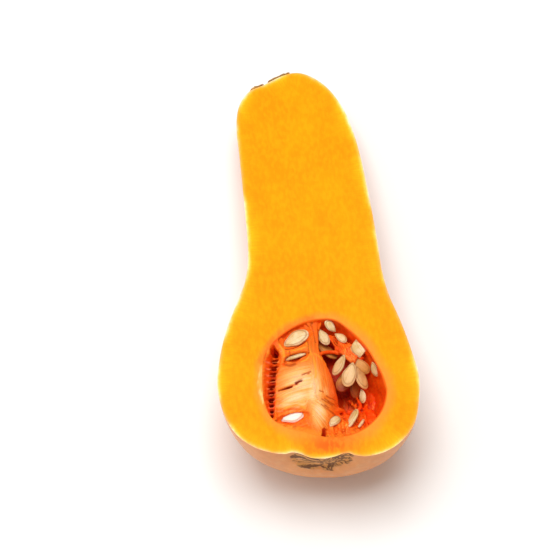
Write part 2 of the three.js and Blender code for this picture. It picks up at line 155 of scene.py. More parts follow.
# Raised lips and ridges of the pulp: points (x, y, z) and radius.
LIPS = [
    ([(-23.4, 26, -2.2), (-20.6, 30, -1.6), (-17.4, 32.6, -1.2), (-13, 33.9, -1.1), (-9.4, 32.4, -1.4),
      (-7.6, 29.6, -2.2)], 0.6),
    ([(-19.2, 70.2, -1.6), (-17.2, 66.5, -1.4), (-16.8, 62.6, -1.5), (-18.2, 58.4, -1.9)], 0.7),
    ([(-15.5, 59.0, -2.4), (-11, 59.2, -2.2), (-6.5, 61.2, -2.1), (-3, 63, -2)], 0.45),
    ([(3.2, 84.6, -2.4), (1.0, 78, -1.8), (-0.6, 71, -1.4), (-1.8, 62, -1.3), (-2.4, 52, -1.9)], 0.45),
    ([(5.4, 84, -3.6), (2.6, 78, -2.8), (1.6, 71, -2.2), (1.6, 63, -2.4)], 0.55),
    ([(-20.8, 70.4, -2.2), (-13.6, 76.8, -2.1), (-8.6, 79.3, -2.1), (-1.8, 81.6, -2.2)], 1.1),
]
# Shallow dishes in the core's top, where a seed lies open, and a bank before one: middle, half widths
# and depth.
DISHES = [
    ((-14.2, 30.4), (8.2, 3.1), 2.2),
    ((-14.5, 24.8), (8.6, 2.5), -1.7),
    ((-10.2, 73.4), (9.0, 5.4), 0.5),
]
# Tangles of cords: the places they are slung between, how many, and their least and greatest radius.
UPPER_KNOT = [
    (8, 77, -8), (13.5, 73, -6.6), (18.6, 69.6, -5.6), (19.8, 62.4, -5.2), (14.6, 65, -6.6),
    (21.6, 66, -6.2), (24.6, 61.4, -7.4), (18.2, 59.4, -4.8), (11.4, 69.4, -8.2),
]
FOOT_KNOT = [
    (3.4, 16.4, -4.4), (8, 15.6, -4.6), (13, 16, -4.6), (18, 17.4, -4.8), (23, 20.6, -5.4), (8.6, 29, -8.6),
    (12.4, 31, -10.4), (12, 24, -6.6), (20.6, 28, -9.4), (24, 25, -8.2),
]
TANGLES = [
    (UPPER_KNOT, 14, 0.4, 0.8),
    ([(18, 49, -16), (20, 40, -17), (18.6, 33, -13.6), (15.4, 34, -14), (22, 35, -12), (16.4, 43, -19)],
     5, 0.4, 0.7),
]
FINE_TANGLES = [(UPPER_KNOT, 46, 0.1, 0.26), (FOOT_KNOT, 44, 0.1, 0.24)]
# The pad of tissue at the blossom end of the hollow, under the seeds that lie there.
PAD_FROM, PAD_TO, PAD_THICKNESS = (1.5, 12.0), (29.0, 33.0), 7
# Slits and pockets in the core's top, cut in and painted dark as painted shade: path, half width and how
# dark each is. The last two are the painted shadow in the gaps under two seeds.
SLITS = [
    ([(-20.8, 42.3), (-17, 43.9), (-13.6, 45)], 0.34, 1.0),
    ([(-11.6, 46.6), (-10, 47.4), (-8.8, 47.7)], 0.8, 1.0),
    ([(-14.3, 20.4), (-14, 20.5), (-13.7, 20.6)], 0.8, 0.35),
    ([(-16, 57.6), (-13.7, 56.9), (-11.4, 57.6)], 1.0, 0.55),
    ([(-15.3, 66.8), (-10.9, 68.1), (-6.9, 70.3), (-3.9, 71.9)], 0.45, 0.8),
]
# Short dark strokes in the grain of the core's top, from end to end.
STROKES = [
    ((3.9, 38.3), (5.3, 37.7)), ((1.3, 36.1), (6.3, 33.6)), ((2.5, 32.8), (4.3, 31.6)),
    ((4.6, 35.3), (7.3, 34.3)), ((3.3, 31.1), (7.3, 28.7)), ((5.1, 29.9), (8.2, 27.1)),
    ((5.3, 37.7), (8.5, 37.2)), ((-8, 50.8), (-3.4, 52.4)), ((0.4, 41.1), (2.2, 40.4)),
    ((2.8, 36.6), (5, 35.4)), ((0.7, 33), (2.6, 31.6)), ((-3.6, 71), (-3.4, 64)),
    ((-0.6, 80), (0.6, 70)), ((2.4, 78), (2.6, 70)), ((-13.4, 62), (-13.6, 65.4)),
]
SLIT_DEPTH, STROKE_DEPTH, STROKE_HALF, STROKE_TINT_HALF = 1.5, 0.45, 0.4, 0.42
# Lines of yellow threads: path and half width.
GOLD = [
    ([(-18.3, 31.9), (-15.4, 32.9), (-12.6, 33.1), (-9.8, 32.5), (-8, 31.1)], 0.5),
    ([(-4.1, 69.6), (-2.6, 64), (-1.1, 58.4), (-0.7, 51.8), (-1.4, 48.6)], 0.55),
    ([(-2.6, 64.1), (-4.8, 59.9), (-7.8, 58.6)], 0.4),
    ([(-0.8, 63), (1.5, 61.7), (2.8, 60)], 0.4),
    ([(-14.5, 65.1), (-9.7, 65.8), (-5.2, 67.2)], 0.4),
    ([(-18.6, 69.4), (-17, 66), (-16.6, 62.4)], 0.5),
]
# Zones of the core's top that are flushed red, and red painted shadow under the lid over one seed and under
# two others (the first, third and sixth): path, half width and strength.
BLUSHES = [
    ([(-20.9, 28.9), (-18.4, 30.9), (-15.5, 31.7), (-12.7, 31.7), (-8.5, 30.4)], 0.55, 1.0),
    ([(-18.4, 60), (-20.6, 52), (-21.8, 45), (-22.4, 38), (-22.6, 30)], 1.7, 0.5),
    ([(-17, 57.6), (-13.6, 57.2), (-9.6, 58.8), (-4.4, 61.4)], 1.7, 1.0),
    ([(-22.4, 69), (-18.6, 75.2), (-10.4, 80.4), (0, 83.6)], 3.4, 0.9),
    ([(-15, 65.6), (-9, 66.6), (-4, 68.4)], 2.4, 0.3),
    ([(-17, 67.4), (-12, 68), (-6, 70)], 1.6, 0.5),
    ([(-21, 23.6), (-15, 22.8), (-9, 24)], 1.3, 0.55),
    ([(-14.6, 20.4), (-14, 20.6), (-13.4, 20.6)], 1.9, 0.85),
    ([(2.5, 84), (2, 78), (4, 70)], 2.6, 0.7),
    ([(11, 66), (15.6, 64), (20, 62), (24, 62)], 4.0, 0.35),
    ([(7, 28), (8, 40), (7, 54)], 2.2, 0.4),
]
# Where the core's top is palest: middle, half widths and strength.
PALES = [
    ((-9, 47), (10, 9), 1.0), ((-12, 38), (9, 6), 1.0), ((-2.5, 42), (4.4, 14), 1.0),
    ((4.4, 41), (3, 3.4), 0.7), ((-1, 29), (4, 9), 1.0), ((-14, 33.4), (7.5, 1.8), 1.0),
    ((-17.4, 65), (1.2, 4), 0.3), ((-1.4, 56), (1.6, 5), 0.4), ((18.5, 62), (5, 4.5), 0.6),
    ((-3.6, 38), (3.4, 8), 0.9),
]
# Fields of fine threads: corners, how many, their length, and least and greatest radius. A thread goes in
# steps of THREAD_STEP, and one of fewer than THREAD_SHORTEST points is left out.
THREAD_STEP, THREAD_SHORTEST = 0.7, 5
THREAD_FIELDS = [
    ((-22, 34), (-4, 57), 64, 12, 0.06, 0.13),
    ((-3.4, 34), (1.5, 80), 44, 12, 0.08, 0.2),
    ((1, 36), (9, 68), 36, 10, 0.06, 0.13),
    ((-9, 20), (2, 38), 36, 12, 0.07, 0.16),
    ((1, 26), (9, 37), 34, 6, 0.06, 0.12),
    ((6, 14), (27, 30), 60, 7, 0.08, 0.18),
    ((-18, 66), (-2, 72), 26, 7, 0.06, 0.14),
]
# The thin pale membrane along the left of the cavity's rim.
MEMBRANE = [(-28.9, 57), (-29.9, 50.8), (-30.2, 45.4), (-30.0, 40), (-29.5, 35.2)]
MEMBRANE_HALF = 1.2
# Where the flesh beside the cavity's upper left is flushed.
FLUSHED_RIM = [(-28.6, 60), (-25, 68), (-18, 75.6), (-9, 81), (0, 85)]
# How far the fine skin stays inside the curves, so that it keeps within the solids.
SKIN_INSET = 0.12
# Where the pulp runs out level with the flesh, how far its right side rolls over, how near it is to be
# to the wall to grow on to it, at the ends and elsewhere, and how far it may stand in the wall.
LEVEL_AT = -0.22
ROLL_DEPTH = 0.8
GROWS_AT_ENDS, GROWS_ELSEWHERE = 2.4, 1.0
INTO_WALL = 1.4
# Square lamps, turned to the middle of the table: name, place in metres, watts and side. The soft light
# from all round, and the table's side.
LAMPS = [("key", (-0.06, 0.17, 1.2), 12.6, 0.8), ("fill", (-0.6, 0.0, 0.9), 2.2, 0.8)]
SKY_COLOUR, SKY_STRENGTH = (1.0, 0.92, 0.84, 1), 0.38
TABLE_SIZE = 6


def open_curve(points, t):
    """Points at shares t (an array) along a smooth curve through points."""
    p = np.array(points, float)
    n = len(p)
    at = np.clip(np.asarray(t, float), 0, 1) * (n - 1)
    i = np.minimum(at.astype(int), n - 2)
    w = (at - i)[:, None]
    a, b, c, d = p[np.maximum(i - 1, 0)], p[i], p[i + 1], p[np.minimum(i + 2, n - 1)]
    u, v = (c - a) / 2, (d - b) / 2
    return (2 * b - 2 * c + u + v) * w**3 + (3 * c - 3 * b - 2 * u - v) * w**2 + u * w + b


def closed_curve(points, turn):
    """Points at shares turn (an array) round a smooth closed curve through points."""
    p = np.array(points, float)
    n = len(p)
    at = (np.asarray(turn, float) % 1) * n
    i = at.astype(int) % n
    w = (at - np.floor(at))[:, None]
    a, b, c, d = p[(i - 1) % n], p[i], p[(i + 1) % n], p[(i + 2) % n]
    e, f, g = (np.sqrt(np.linalg.norm(q - r, axis=1))[:, None] for q, r in ((b, a), (c, b), (d, c)))
    u = ((b - a) / e - (c - a) / (e + f) + (c - b) / f) * f
    v = ((c - b) / f - (d - b) / (f + g) + (d - c) / g) * f
    return b + u * w + (3 * c - 3 * b - 2 * u - v) * w**2 + (2 * b - 2 * c + u + v) * w**3


def skin(t, angle):
    """Skin points at shares t from blossom to stem, at angle round the core line (arrays)."""
    left, right = open_curve(LEFT_EDGE, t), open_curve(RIGHT_EDGE, t)
    share = (1 + np.cos(angle)) / 2
    rib = 0.25 * np.sin(math.pi * t) ** 2 * (np.cos(10 * angle) - 1)
    out = np.maximum(left[:, 0] + (right[:, 0] - left[:, 0]) * share + rib - SKIN_INSET, 0)
    along = left[:, 1] + (right[:, 1] - left[:, 1]) * share
    along += SKIN_INSET * (1 - 2 * t)
    return np.stack((out * np.cos(angle), along, out * np.sin(angle) * BULB_DEPTH / BULB_HALF_WIDTH), 1)


def smooth(x, low, high):
    s = np.clip((np.asarray(x, float) - low) / (high - low), 0, 1)
    return s * s * (3 - 2 * s)


# ---- Modelling helpers ----
def only(obj):
    bpy.ops.object.select_all(action="DESELECT")
    obj.select_set(True)
    bpy.context.view_layer.objects.active = obj
    return obj


def made(name):
    obj = bpy.context.view_layer.objects.active
    obj.name = name
    obj.data.name = name
    return only(obj)


def places(obj):
    co = np.empty(len(obj.data.vertices) * 3, np.float32)
    obj.data.vertices.foreach_get("co", co)
    return co.reshape(-1, 3).astype(float)


def put(obj, co):
    obj.data.vertices.foreach_set("co", np.asarray(co, np.float32).ravel())
    obj.data.update()


def directions(obj):
    no = np.empty(len(obj.data.vertices) * 3, np.float32)
    obj.data.vertex_normals.foreach_get("vector", no)
    return no.reshape(-1, 3).astype(float)


def edit(obj, *steps):
    """Runs edit-mode steps on the whole of obj."""
    only(obj)
    bpy.ops.object.mode_set(mode="EDIT")
    bpy.ops.mesh.select_all(action="SELECT")
    for step in steps:
        step()
    bpy.ops.object.mode_set(mode="OBJECT")


def outwards():
    bpy.ops.mesh.normals_make_consistent(inside=False)


def finish_with(obj, kind, **settings):
    """Adds a modifier and applies it."""
    only(obj)
    modifier = obj.modifiers.new(kind.lower(), kind)
    for key, value in settings.items():
        setattr(modifier, key, value)
    bpy.ops.object.modifier_apply(modifier=modifier.name)


def drop(obj):
    bpy.data.objects.remove(obj)


def sheet(name, across, along):
    """A flat grid, with how far across and along it each of its places is, from 0 to 1."""
    bpy.ops.mesh.primitive_grid_add(x_subdivisions=across, y_subdivisions=along, size=1)
    flat = made(name)
    return flat, places(flat)[:, :2] + 0.5


def thicken(flat, height):
    """Draws a sheet out, straight up or down, into a closed block."""
    edit(
        flat,
        lambda: bpy.ops.mesh.extrude_region_move(TRANSFORM_OT_translate={"value": (0, 0, height)}),
        lambda: bpy.ops.mesh.select_all(action="SELECT"),
        outwards,
    )
    return flat


def note_down(obj, **notes):
    """Keeps one number, or three, for each vertex of obj, for its material to read."""
    for name, values in notes.items():
        values = np.asarray(values, np.float32)
        kind, key = ("FLOAT", "value") if values.ndim == 1 else ("FLOAT_VECTOR", "vector")
        obj.data.attributes.new(name, kind, "POINT").data.foreach_set(key, values.ravel())


def grain_noise(co, scale, seed=0.0):
    return np.array([noise.noise(Vector(p) * scale + Vector((seed, seed, seed))) for p in co])


def lay_down(obj, node=None, smooth_angle=None):
    """Turns a finished piece on to the table and hands it to the frame."""
    obj.data.transform(LAY)
    obj.data.update()
    only(obj)
    if smooth_angle is None:
        bpy.ops.object.shade_smooth()
    else:
        bpy.ops.object.shade_smooth_by_angle(angle=math.radians(smooth_angle))
    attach(obj, "root")
    if node:
        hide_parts(node)
    return obj


# ---- Materials ----
def paint(red, green, blue):
    """A screen colour, 0 to 255, as linear light."""
    def linear(c):
        c /= 255
        return c / 12.92 if c <= 0.04045 else ((c + 0.055) / 1.055) ** 2.4
    return (linear(red), linear(green), linear(blue), 1.0)


class Nodes:
    """A short hand for wiring a node tree."""

    def __init__(self, tree):
        self.tree = tree

    def add(self, kind, **settings):
        node = self.tree.nodes.new(kind)
        for key, value in settings.items():
            setattr(node, key, value)
        return node

    def feed(self, socket, value):
        if isinstance(value, bpy.types.NodeSocket):
            self.tree.links.new(value, socket)
        else:
            socket.default_value = value

    def wired(self, node, **inputs):
        """Feeds a node's inputs by name and gives its outputs."""
        for key, value in inputs.items():
            self.feed(node.inputs[key.replace("_", " ")], value)
        return node.outputs

    def math(self, operation, a, b=0.0, c=0.0):
        node = self.add("ShaderNodeMath", operation=operation)
        for socket, value in zip(node.inputs, (a, b, c)):
            self.feed(socket, value)
        return node.outputs[0]

    def times(self, a, b):
        return self.math("MULTIPLY", a, b)

    def span(self, value, low, high, to_low=0.0, to_high=1.0):
        """value taken from low..high to to_low..to_high, held at the ends."""
        node = self.add("ShaderNodeMapRange", interpolation_type="SMOOTHSTEP")
        self.wired(node, Value=value, From_Min=low, From_Max=high, To_Min=to_low, To_Max=to_high)
        return node.outputs[0]

    def blend(self, share, a, b, how="MIX"):
        """A share of b in a. A colour of three numbers is a screen colour."""
        node = self.add("ShaderNodeMix", data_type="RGBA", blend_type=how, clamp_result=True)
        self.feed(node.inputs[0], share)
        for socket, value in ((node.inputs[6], a), (node.inputs[7], b)):
            self.feed(socket, paint(*value) if isinstance(value, tuple) and len(value) == 3 else value)
        return node.outputs[2]

    def over(self, colour, mask, coat, strength=1.0):
        """A coat of paint laid over a colour where the mask is."""
        return self.blend(mask if strength == 1 else self.times(mask, strength), colour, coat)

    def ramp(self, value, *stops):
        """Screen colours at stops, each (place, red, green, blue)."""
        node = self.add("ShaderNodeValToRGB")
        elements = node.color_ramp.elements
        while len(elements) < len(stops):
            elements.new(0.5)
        for element, (at, *colour) in zip(elements, stops):
            element.position = at
            element.color = paint(*colour)
        self.feed(node.inputs[0], value)
        return node.outputs[0]

    def stretched(self, vector, scale):
        return self.wired(self.add("ShaderNodeMapping"), Vector=vector, Scale=scale)[0]

    def cloud(self, vector, scale, detail=3.0, rough=0.55, twist=0.0):
        return self.wired(self.add("ShaderNodeTexNoise"), Vector=vector, Scale=scale, Detail=detail,
                          Roughness=rough, Distortion=twist)["Fac"]

    def cells(self, vector, scale):
        """How far each place is from the lines of a net."""
        node = self.add("ShaderNodeTexVoronoi", feature="DISTANCE_TO_EDGE")
        return self.wired(node, Vector=vector, Scale=scale)["Distance"]

    def note(self, name, kind="Fac"):
        return self.add("ShaderNodeAttribute", attribute_name=name).outputs[kind]

    def here(self):
        return self.add("ShaderNodeTexCoord").outputs["Object"]

    def group(self, tree, **inputs):
        return self.wired(self.add("ShaderNodeGroup", node_tree=tree), **inputs)

    def dress(self, shader, colour, height, strength, distance):
        """Gives a shader its colour and its relief."""
        relief = self.add("ShaderNodeBump")
        self.wired(relief, Height=height, Strength=strength, Distance=distance)
        self.wired(shader, Base_Color=colour, Normal=relief.outputs[0])


def new_group(name, inputs, outputs):
    """A node group. An input with no value is a vector and the others are numbers, as the outputs are."""
    tree = bpy.data.node_groups.new(name, "ShaderNodeTree")
    for label, value in inputs.items():
        kind = "NodeSocketVector" if value is None else "NodeSocketFloat"
        socket = tree.interface.new_socket(label, in_out="INPUT", socket_type=kind)
        if value is not None:
            socket.default_value = value
    for label in outputs:
        tree.interface.new_socket(label, in_out="OUTPUT", socket_type="NodeSocketFloat")
    n = Nodes(tree)
    return tree, n, n.add("NodeGroupInput").outputs, n.add("NodeGroupOutput").inputs


def mottle_group():
    """Soft patches of darker and lighter flesh or skin, at two sizes."""
    tree, n, given, out = new_group(
        "mottle", {"Vector": None, "Patch": 60.0, "Fleck": 400.0}, ("Mask", "Flecks"))
    n.feed(out["Mask"], n.span(n.cloud(given["Vector"], given["Patch"], 4.0, 0.5), 0.36, 0.64))
    n.feed(out["Flecks"], n.span(n.cloud(given["Vector"], given["Fleck"], 3.0, 0.5), 0.38, 0.66))
    return tree


def fibre_group():
    """Fine threads that run along the second coordinate: a mask of pale threads and their height."""
    tree, n, given, out = new_group("fibres", {"Across": None, "Count": 1.0}, ("Threads", "Height"))
    coarse = n.cloud(given["Across"], given["Count"], 3.0, 0.5, 0.6)
    fine = n.cloud(given["Across"], n.times(given["Count"], 2.7), 3.0, 0.5, 0.3)
    both = n.math("ADD", n.times(coarse, 0.62), n.times(fine, 0.38))
    n.feed(out["Threads"], n.span(both, 0.42, 0.6))
    n.feed(out["Height"], both)
    return tree


MOTTLE = mottle_group()
FIBRES = fibre_group()


def new_material(name, roughness, specular, coat=0.0, soft=None):
    """A material. soft is how much light goes under the surface, how far, and each colour's share."""
    material = bpy.data.materials.new(name)
    material.use_nodes = True
    n = Nodes(material.node_tree)
    shader = material.node_tree.nodes["Principled BSDF"]
    n.wired(shader, Roughness=roughness, Specular_IOR_Level=specular, Coat_Weight=coat, Coat_Roughness=0.12)
    if soft:
        weight, scale, radius = soft
        n.wired(shader, Subsurface_Weight=weight, Subsurface_Scale=scale, Subsurface_Radius=radius)
    return material, n, shader


def cut_flesh():
    """Yellow under the rind, deepening to orange, tinged and flushed round the cavity."""
    material, n, shader = new_material("cut flesh", 0.58, 0.07, soft=(0.22, 0.003, (1.0, 0.4, 0.06)))
    here, edge, rim = n.here(), n.note("edge_mm"), n.note("rim_mm")
    wander = n.times(n.math("SUBTRACT", n.cloud(here, 90, 4), 0.5), 2.6)
    colour = n.ramp(
        n.math("DIVIDE", n.math("ADD", edge, n.times(wander, 0.8)), 12),
        (0.0, 253, 238, 200), (0.045, 251, 224, 138), (0.11, 252, 204, 68), (0.21, 252, 184, 22),
        (0.42, 251, 169, 8), (0.65, 250, 160, 3), (1.0, 250, 156, 1),
    )
    patches = n.group(MOTTLE, Vector=n.stretched(here, (1, 0.45, 1)), Patch=75.0, Fleck=520.0)
    colour = n.over(colour, patches["Mask"], (249, 144, 1), 0.75)
    colour = n.over(colour, patches["Flecks"], (252, 178, 14), 0.36)
    rays = n.group(FIBRES, Across=n.note("ring", "Vector"), Count=1.0)
    near = n.times(n.span(edge, 0.8, 2.5), n.span(edge, 16, 5))
    colour = n.over(colour, n.times(rays["Threads"], near), (244, 140, 4), 0.34)
    ring = n.span(n.math("ADD", rim, n.times(wander, 0.35)), 1.0, 0.1)
    colour = n.over(colour, ring, (248, 142, 56), 0.72)
    blotched = n.times(n.note("blush"), n.span(patches["Flecks"], 0, 1, 0.95, 0.6))
    colour = n.over(colour, blotched, (240, 98, 18))
    lip = n.times(n.span(rim, 0.16, 0.02), n.note("lip"))
    colour = n.over(colour, lip, (234, 84, 10), 0.85)
    streak = n.span(n.cloud(n.stretched(here, (1, 0.12, 1)), 900, 2), 0.42, 0.6, 0.3, 1.0)
    colour = n.over(colour, n.times(n.note("membrane"), streak), (253, 208, 128), 0.85)
    height = n.math("ADD", n.cloud(here, 700, 3), n.times(patches["Mask"], 0.6))
    n.dress(shader, colour, height, 0.12, 0.0004)
    return material


def rind_skin():
    """Tan skin, faintly streaked along the fruit, with a net of cork round the button."""
    material, n, shader = new_material("rind", 0.4, 0.4, coat=0.1, soft=(0.1, 0.0015, (1.0, 0.5, 0.25)))
    here = n.here()
    patches = n.group(MOTTLE, Vector=n.stretched(here, (1, 0.35, 1)), Patch=48.0, Fleck=260.0)
    streaks = n.cloud(n.stretched(here, (1, 0.06, 1)), 340, 3, 0.6)
    colour = n.blend(n.times(patches["Mask"], 0.5), (243, 158, 76), (227, 134, 52))
    colour = n.over(colour, n.span(streaks, 0.5, 0.72, 0, 0.3), (240, 182, 118))
    colour = n.over(colour, patches["Flecks"], (196, 118, 60), 0.16)
    ripple = n.wired(n.add("ShaderNodeTexNoise"), Vector=here, Scale=260)["Color"]
    lines = n.span(n.cells(n.blend(0.006, here, ripple, "ADD"), 330), 0.2, 0.04)
    near_button = n.span(n.note("button_mm"), 23, 12, -0.4, 0.14)
    patchy = n.span(n.math("ADD", n.cloud(here, 170, 3), near_button), 0.44, 0.56)
    cork = n.times(lines, patchy)
    colour = n.over(colour, patchy, (204, 150, 84), 0.5)
    colour = n.over(colour, cork, (126, 78, 34))
    n.feed(shader.inputs["Roughness"], n.math("MULTIPLY_ADD", patchy, 0.35, 0.38))
    n.dress(shader, colour, n.math("ADD", n.times(streaks, 0.25), cork), 0.4, 0.0007)
    return material


def wet_red():
    """The cavity's own wall: smooth, wet and redder than the flesh."""
    material, n, shader = new_material("cavity wall", 0.4, 0.16, 0.06, (0.25, 0.002, (1.0, 0.25, 0.05)))
    here, deep = n.here(), n.note("deep_mm")
    patches = n.group(MOTTLE, Vector=here, Patch=130.0, Fleck=600.0)
    threads = n.group(FIBRES, Across=n.stretched(here, (500, 90, 160)), Count=1.0)
    colour = n.blend(n.span(deep, 0.2, 2.5), (248, 118, 20), (253, 84, 7))
    colour = n.over(colour, patches["Mask"], (246, 62, 3), 0.55)
    # Darker red further down the hollow: partly the wall's own red, partly painted shade.
    colour = n.over(colour, n.span(deep, 10, 28), (216, 36, 2))
    colour = n.over(colour, threads["Threads"], (246, 112, 22), 0.25)
    n.dress(shader, colour, threads["Height"], 0.35, 0.0005)
    return material


def stringy_pulp(name, fibrous):
    """Cut pulp: pale and peach on the core's top, orange round it and red down in the hollow, darker towards
    the bottom as painted shade.
    """
    material, n, shader = new_material(name, 0.45, 0.1, 0.03, (0.25, 0.002, (1.0, 0.35, 0.08)))
    here, grain, deep = n.here(), n.note("grain", "Vector"), n.note("deep_mm")
    patches = n.group(MOTTLE, Vector=here, Patch=170.0, Fleck=620.0)
    threads = n.group(FIBRES, Across=grain, Count=1.0)
    # Redder further down, the pulp's own colour, and darker towards the bottom: painted shade.
    colour = n.ramp(
        n.math("DIVIDE", n.math("ADD", deep, patches["Mask"]), 20),
        (0.0, 248, 142, 40), (0.14, 246, 112, 18), (0.32, 242, 76, 6), (0.6, 226, 42, 2), (1.0, 186, 18, 1),
    )
    # The red flush, with red painted shadow under some seeds.
    hot = n.times(n.note("hot"), n.span(patches["Mask"], 0, 1, 0.95, 0.7))
    colour = n.over(colour, hot, (239, 62, 2))
    broad = n.span(n.cloud(n.stretched(grain, (0.3, 0.3, 0.3)), 1.0, 3), 0.38, 0.62)
    pale = n.times(n.note("pale"), n.span(broad, 0, 1, 0.72, 1.0))
    top = n.ramp(pale, (0.0, 242, 90, 3), (0.3, 246, 126, 28), (0.6, 250, 176, 94), (1.0, 251, 204, 158))
    colour = n.over(colour, n.times(n.note("top"), n.math("SUBTRACT", 1.0, hot)), top)
    colour = n.over(colour, n.note("level"), (249, 147, 40))
    # The tangles' orange, with dark red painted shade in the gaps between strands and pale painted
    # highlights on the strands.
    knots = n.cloud(n.stretched(here, (1, 0.4, 0.7)), 620, 3, 0.6, 0.8)
    tangled = n.ramp(
        knots,
        (0.37, 170, 18, 1), (0.45, 238, 70, 4), (0.56, 247, 108, 14), (0.68, 253, 184, 84),
    )
    colour = n.over(colour, n.note("tangle"), tangled)
    light = n.blend(pale, (250, 140, 40), (254, 218, 158))
    calm = n.math("SUBTRACT", 1.0, n.times(hot, 0.95))
    shown = n.times(n.times(threads["Threads"], calm), fibrous)
    colour = n.over(colour, n.times(shown, n.span(deep, 3, 9, 1, 0.35)), light)
    # Darker orange in the low grooves between the threads: painted shade.
    colour = n.over(colour, n.span(threads["Height"], 0.44, 0.34), (228, 104, 20), 0.5)
    # The slits and the holes of the left gap are painted dark red: painted shade.
    torn, pit = n.note("torn"), n.note("pit")
    for mask, coat in (
        (n.note("gold"), (250, 162, 42)), (n.note("bridge"), (244, 132, 84)),
        (n.note("stroke"), (176, 60, 8)), (torn, (126, 22, 3)), (pit, (104, 7, 2)),
    ):
        colour = n.over(colour, mask, coat)
    dull = n.math("MAXIMUM", torn, pit)
    n.feed(shader.inputs["Roughness"], n.math("MULTIPLY_ADD", dull, 0.55, 0.45))
    n.feed(shader.inputs["Coat Weight"], n.span(dull, 0, 0.6, 0.03, 0))
    n.dress(shader, colour, threads["Height"], 0.4, 0.0006)
    return material


def seed_coat():
    """Cream to amber, with fine strands along the seed and a brown line inside its border."""
    material, n, shader = new_material("seed coat", 0.45, 0.16, 0.04, (0.12, 0.0012, (1.0, 0.7, 0.4)))
    warm = n.note("warm")
    # The amber share carries the coat's own tone and painted shade.
    ripe, white = n.math("MAXIMUM", warm, 0.0), n.span(warm, 0, -0.6)
    patches = n.group(MOTTLE, Vector=n.here(), Patch=140.0, Fleck=620.0)
    cream = n.blend(patches["Mask"], (247, 233, 196), (225, 198, 132))
    amber = n.blend(patches["Mask"], (220, 156, 76), (190, 114, 42))
    colour = n.over(n.blend(ripe, cream, amber), white, (249, 244, 236))
    fleck = n.blend(ripe, (248, 240, 206), (176, 108, 48))
    colour = n.over(colour, patches["Flecks"], fleck, 0.3)
    fibres = n.cloud(n.note("lengthwise", "Vector"), 1.0, 3)
    strand = n.blend(white, (190, 146, 80), (226, 210, 180))
    colour = n.over(colour, n.span(fibres, 0.5, 0.66, 0, 0.45), strand)
    colour = n.over(colour, n.note("border"), (150, 86, 36), 0.7)
    # Dark red painted shade on the seeds that lie in shade.
    colour = n.over(colour, n.note("soaked"), (146, 30, 3))
    n.dress(shader, colour, fibres, 0.4, 0.0003)
    return material


def dry_cork():
    """The tan crust, finely cracked."""
    material, n, shader = new_material("dry cork", 0.85, 0.15)
    here = n.here()
    patches = n.group(MOTTLE, Vector=here, Patch=160.0, Fleck=800.0)
    cracks = n.span(n.cells(n.stretched(here, (1, 1, 2.4)), 620), 0.14, 0.02)
    colour = n.blend(patches["Mask"], (212, 164, 96), (172, 122, 64))
    colour = n.over(colour, cracks, (124, 84, 46), 0.55)
    colour = n.over(colour, patches["Flecks"], (216, 176, 110), 0.35)
    n.dress(shader, colour, n.math("SUBTRACT", patches["Flecks"], cracks), 0.7, 0.0006)
    return material


FLESH, RIND, WALL = cut_flesh(), rind_skin(), wet_red()
PULP, THREAD = stringy_pulp("stringy pulp", 0.42), stringy_pulp("pulp threads", 0.7)
COAT, CORK = seed_coat(), dry_cork()


# ---- The half: flesh, rind and cavity wall ----
def whole_fruit():
    bpy.ops.mesh.primitive_uv_sphere_add(segments=180, ring_count=230, radius=1)
    fruit = made("squash_half_fine")
    x, y, z = places(fruit).T
    put(fruit, skin(1 - np.arccos(np.clip(z, -1, 1)) / math.pi, np.arctan2(y, x)))
    edit(fruit, outwards)
    fruit.data.materials.append(RIND)
    return fruit


def knife():
    """A thick blade with a fine flat underside, which leaves its own mesh on the cut."""
    blade, _ = sheet("knife", 144, 340)
    put(blade, places(blade) * (*BLADE_SIZE, 1) + (*BLADE_CENTRE, 0))
    thicken(blade, BLADE_THICKNESS)
    blade.data.materials.append(FLESH)
    return blade


def bowl():
    """The cavity's bowl, in the shape that the solids have, with a finer wall."""
    bpy.ops.mesh.primitive_uv_sphere_add(segments=220, ring_count=110, radius=1)
    hollow = made("bowl")
    x, y, z = places(hollow).T
    angle = np.arctan2(y, x)
    rim = closed_curve(CAVITY_RIM, angle / (2 * math.pi))
    centre = np.array(CAVITY_CENTRE, float)
    span = np.linalg.norm(rim - centre, axis=1)
    low = z < 0
    ball = np.clip(1 - z**2, 0, 1)
    out = np.where(low, ball ** (CAVITY_FULLNESS / 2), np.minimum(1, 1.3 * np.sqrt(ball)))
    lump = np.where(low, 0.7 * np.sin(7 * angle) * np.sin(3 * math.pi * z) * out, 0)
    wall = np.where(low, grain_noise(np.column_stack((rim, z * CAVITY_DEPTH)), 0.3) * 0.9 * out, 0)
    reach = (out * span + lump + wall * smooth(-z, 0.02, 0.15)) / span
    flat = centre + (rim - centre) * reach[:, None]
    put(hollow, np.column_stack((flat, z * np.where(low, CAVITY_DEPTH, BOWL_ABOVE))))
    edit(hollow, outwards)
    hollow.data.materials.append(WALL)
    return hollow


def outline(samples=4000):
    t = np.linspace(0, 1, samples)
    right = skin(t, np.zeros(samples))
    left = skin(t[::-1], np.full(samples, math.pi))
    return np.concatenate((right, left))[:, :2]


def nearest(line, co):
    """How far each point is from a line on the cut face, and how far along the line that is."""
    tree = KDTree(len(line))
    for i, (x, y) in enumerate(line):
        tree.insert((x, y, 0), i)
    tree.balance()
    steps = np.concatenate(([0], np.cumsum(np.linalg.norm(np.diff(line, axis=0), axis=1))))
    found = [tree.find((x, y, 0)) for x, y in co[:, :2]]
    return np.array([f[2] for f in found]), np.array([steps[f[1]] for f in found])


def near_path(co, points, steps=40):
    """How far each place is, seen from above, from a path."""
    path = open_curve(points, np.linspace(0, 1, steps))
    away = np.linalg.norm(co[:, None, :2] - path[None, :, :2], axis=2)
    return away.min(axis=1)


